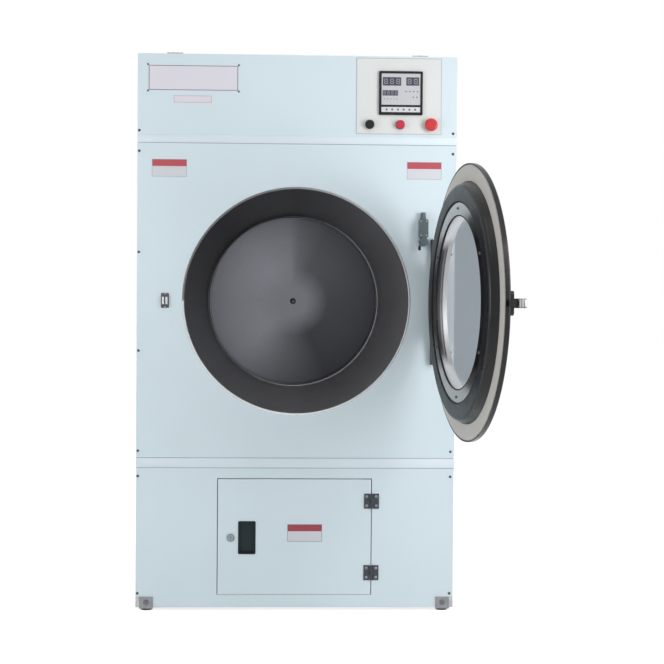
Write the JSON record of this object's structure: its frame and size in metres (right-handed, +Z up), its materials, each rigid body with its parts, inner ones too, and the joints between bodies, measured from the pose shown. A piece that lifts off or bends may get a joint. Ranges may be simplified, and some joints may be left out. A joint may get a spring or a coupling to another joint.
{
  "type": "tumble drier",
  "caption": "Commercial front-loading tumble drier with its round door open: drum, belt drive, blower, heater box, lint door, control header, door catch and door switch.",
  "frame": {"origin": "on the floor, at the centre of the four anchor holes", "axes": "+X to the right seen from the front, +Y into the machine, +Z up; the front panel lies at Y = -0.55 m"},
  "size_m": [1.0949, 2.0101, 1.753],
  "materials": {
    "powder_coat": "light blue-grey powder coat",
    "trim_coat": "light blue-grey powder coat, a little darker",
    "frame_coat": "dark grey primer",
    "zinc": "zinc-plated sheet",
    "stainless": "satin stainless steel",
    "drum_steel": "darkened stainless steel",
    "disc_steel": "polished stainless steel",
    "bright_steel": "bright nut",
    "plate_coat": "off-white printed plate, left blank",
    "black_plastic": "black moulded plastic",
    "red_plastic": "red moulded plastic",
    "white_plastic": "white nylon",
    "dark_plastic": "dark green-black moulded plastic",
    "switch_coat": "blue-grey enamel",
    "black_coat": "satin black powder coat",
    "seal_rubber": "light grey silicone",
    "black_rubber": "black rubber",
    "tinted_glass": "tinted toughened glass",
    "grip_chrome": "polished grip",
    "cast_metal": "machined casting",
    "motor_coat": "blue-grey motor enamel"
  },
  "bodies": {
    "cabinet": {"base_frame": "frame_coat", "cabinet_frame": "frame_coat", "side_panel_left": "powder_coat", "side_panel_right": "powder_coat", "top_panel": "powder_coat", "rear_panel": "powder_coat", "header_panel": "powder_coat", "trim_rails": "trim_coat", "front_panel": "powder_coat", "lower_front_panel": "powder_coat", "foot_brackets": "zinc", "levelling_feet": "zinc", "lifting_cleats": "zinc", "control_plate": "plate_coat", "controller": "black_plastic", "button_collars": "black_plastic", "catch_base": "zinc", "switch_body": "switch_coat", "cabinet_hinge_leaf": "black_coat", "hinge_pin": "stainless", "bearing_bulkhead": "frame_coat", "bearing_housing": "cast_metal", "gear_motor": "motor_coat", "drum_belts": "black_rubber", "blower_housing": "stainless", "blower_motor": "motor_coat", "exhaust_duct": "zinc", "heater_box": "zinc", "inlet_grille": "powder_coat", "lint_box": "zinc", "lint_screen": "stainless", "lint_hinge_leaves": "black_coat"},
    "door": {"door_pan": "black_coat", "door_seal": "seal_rubber", "plug_collar": "black_coat", "glass_gasket": "black_rubber", "window_glass": "tinted_glass", "glass_bezel": "stainless", "door_hinge_leaf": "black_coat", "handle_base": "black_coat", "door_grip": "grip_chrome"},
    "drum": {"drum_shell": "drum_steel", "drum_back_plate": "disc_steel", "drum_lifters": "stainless", "drum_shaft": "stainless", "centre_bolt": "bright_steel", "drum_pulley": "cast_metal"},
    "drive_pulley": {"motor_pulley": "cast_metal"},
    "blower": {"blower_wheel": "stainless"},
    "lint_access_door": {"lint_door": "powder_coat", "lint_pull": "dark_plastic", "lint_door_leaves": "black_coat"},
    "cam_lock": {"lint_lock": "stainless"},
    "start_button": {"black_button": "black_plastic"},
    "stop_button": {"red_button": "red_plastic"},
    "mushroom_button": {"emergency_stop": "red_plastic"},
    "door_switch_lever": {"switch_lever": "zinc"},
    "door_switch_roller": {"switch_roller": "black_plastic"},
    "left_catch_roller": {"catch_roller_left": "white_plastic"},
    "right_catch_roller": {"catch_roller_right": "white_plastic"}
  },
  "joints": [
    {"name": "door_hinge", "type": "hinge", "parent": "cabinet", "child": "door", "pos_m": [0.428, -0.564, 0.9745], "axis": [0, 0, 1], "range_deg": [-98.3, 52]},
    {"name": "drum_spin", "type": "hinge", "parent": "cabinet", "child": "drum", "pos_m": [0, 0, 0.9745], "axis": [0, 1, 0], "continuous": true},
    {"name": "motor_pulley_spin", "type": "hinge", "parent": "cabinet", "child": "drive_pulley", "pos_m": [0.33, 0.404, 0.15], "axis": [0, 1, 0], "continuous": true},
    {"name": "blower_spin", "type": "hinge", "parent": "cabinet", "child": "blower", "pos_m": [-0.01, 0, 0.25], "axis": [0, 1, 0], "continuous": true},
    {"name": "lint_door_hinge", "type": "hinge", "parent": "cabinet", "child": "lint_access_door", "pos_m": [0.24025, -0.5545, 0.2335], "axis": [0, 0, 1], "range_deg": [0, 110]},
    {"name": "lint_lock_turn", "type": "hinge", "parent": "lint_access_door", "child": "cam_lock", "pos_m": [-0.202, -0.55, 0.2305], "axis": [0, -1, 0], "range_deg": [0, 90]},
    {"name": "black_button_press", "type": "slide", "parent": "cabinet", "child": "start_button", "axis": [0, 1, 0], "range_m": [0, 0.005], "stiffness_N_per_m": 800, "springref_m": -0.002},
    {"name": "red_button_press", "type": "slide", "parent": "cabinet", "child": "stop_button", "axis": [0, 1, 0], "range_m": [0, 0.005], "stiffness_N_per_m": 800, "springref_m": -0.002},
    {"name": "emergency_stop_press", "type": "slide", "parent": "cabinet", "child": "mushroom_button", "axis": [0, 1, 0], "range_m": [0, 0.005], "stiffness_N_per_m": 1500, "springref_m": -0.002},
    {"name": "switch_lever_swing", "type": "hinge", "parent": "cabinet", "child": "door_switch_lever", "pos_m": [0.377, -0.568, 1.164], "axis": [1, 0, 0], "range_deg": [0, 20], "stiffness_Nm_per_rad": 0.1, "springref_deg": -11.46},
    {"name": "switch_roller_spin", "type": "hinge", "parent": "door_switch_lever", "child": "door_switch_roller", "pos_m": [0.3835, -0.57216, 1.14444], "axis": [1, 0, 0], "continuous": true},
    {"name": "left_roller_spin", "type": "hinge", "parent": "cabinet", "child": "left_catch_roller", "pos_m": [-0.4174, -0.559, 0.9745], "axis": [0, 0, 1], "continuous": true},
    {"name": "right_roller_spin", "type": "hinge", "parent": "cabinet", "child": "right_catch_roller", "pos_m": [-0.4066, -0.559, 0.9745], "axis": [0, 0, 1], "continuous": true}
  ],
  "couplings": [
    {"joint": "motor_pulley_spin", "follows": "drum_spin", "ratio": 6.5385}
  ]
}
